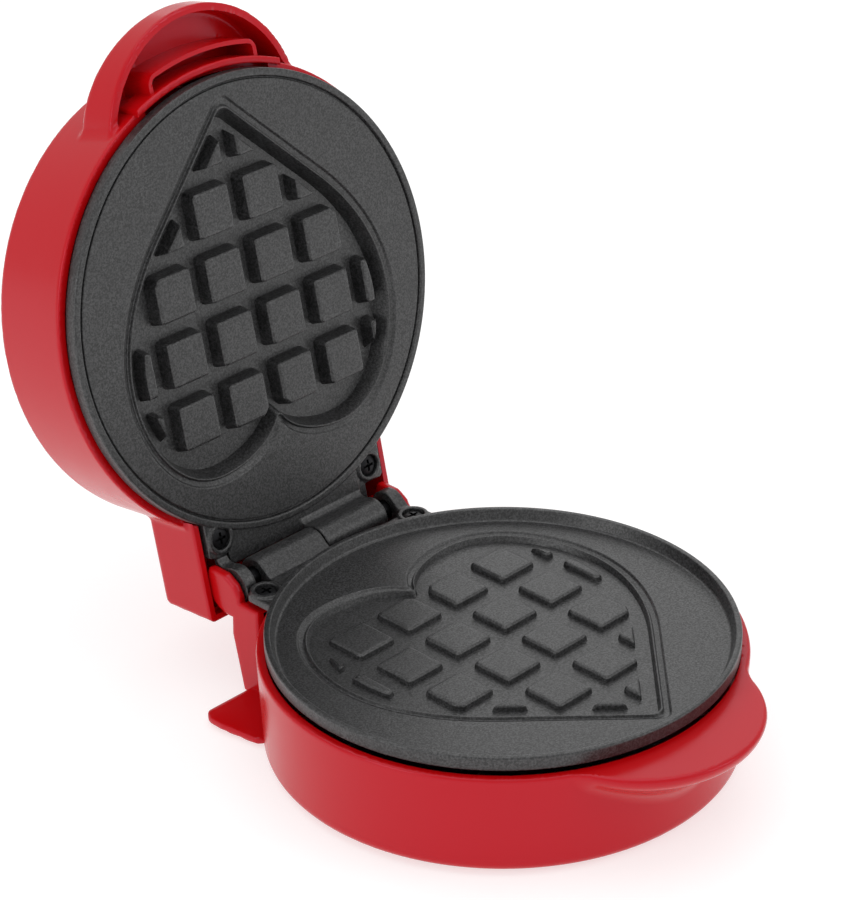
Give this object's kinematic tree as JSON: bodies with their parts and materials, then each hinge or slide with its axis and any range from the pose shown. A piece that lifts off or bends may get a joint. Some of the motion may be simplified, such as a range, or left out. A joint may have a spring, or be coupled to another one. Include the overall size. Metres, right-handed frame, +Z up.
{
  "type": "mini waffle maker",
  "caption": "Small round countertop waffle maker, lid open, with heart-shaped pegged plates, front grips and a rear hinge under a cover.",
  "frame": {"origin": "middle of the footprint box of the open appliance, on the table", "axes": "+Z up, +X to the appliance's right seen from behind its grips, -Y towards the grips, +Y towards the hinge"},
  "size_m": [0.1264, 0.2088, 0.1726],
  "materials": {
    "red_plastic": "smooth gloss moulded plastic",
    "nonstick_coating": "satin dark grey non-stick coating on cast aluminium",
    "black_oxide_steel": "black oxide",
    "zinc_steel": "zinc plated",
    "black_rubber": "matte",
    "heater_sheath": "satin",
    "aluminium_sheet": "mill finish",
    "ceramic": "unglazed ceramic",
    "clear_red_plastic": "clear tinted plastic",
    "lamp_glass": "clear glass",
    "wire_sleeve": "woven glass sleeve"
  },
  "bodies": {
    "base": {"base_housing": "red_plastic", "bottom_cover": "red_plastic", "rubber_foot_rear_right": "black_rubber", "cover_screw_rear_right": "zinc_steel", "rubber_foot_rear_left": "black_rubber", "cover_screw_rear_left": "zinc_steel", "rubber_foot_front_left": "black_rubber", "cover_screw_front_left": "zinc_steel", "rubber_foot_front_right": "black_rubber", "cover_screw_front_right": "zinc_steel", "lower_plate": "nonstick_coating", "lower_heating_element": "heater_sheath", "lower_heat_reflector": "aluminium_sheet", "lower_reflector_screw": "zinc_steel", "lower_plate_screw_left": "black_oxide_steel", "lower_plate_screw_right": "black_oxide_steel", "thermostat": "ceramic", "terminal_block": "ceramic", "hinge_pin": "black_oxide_steel", "cord_inlet_bushing": "black_rubber", "lower_lead_left": "wire_sleeve", "lower_lead_right": "wire_sleeve"},
    "lid": {"lid_shell": "red_plastic", "lid_top_cap": "red_plastic", "indicator_lens": "clear_red_plastic", "neon_lamp": "lamp_glass", "upper_plate": "nonstick_coating", "upper_heating_element": "heater_sheath", "upper_heat_reflector": "aluminium_sheet", "upper_reflector_screw": "zinc_steel", "upper_plate_screw_right": "black_oxide_steel", "upper_plate_screw_left": "black_oxide_steel", "thermal_fuse": "ceramic", "upper_lead_left": "wire_sleeve", "upper_lead_right": "wire_sleeve"}
  },
  "joints": [
    {"name": "lid_hinge", "type": "hinge", "parent": "base", "child": "lid", "pos_m": [0, 0.04242, 0.0298], "axis": [-1, 0, 0], "range_deg": [-101.8, 0]}
  ]
}
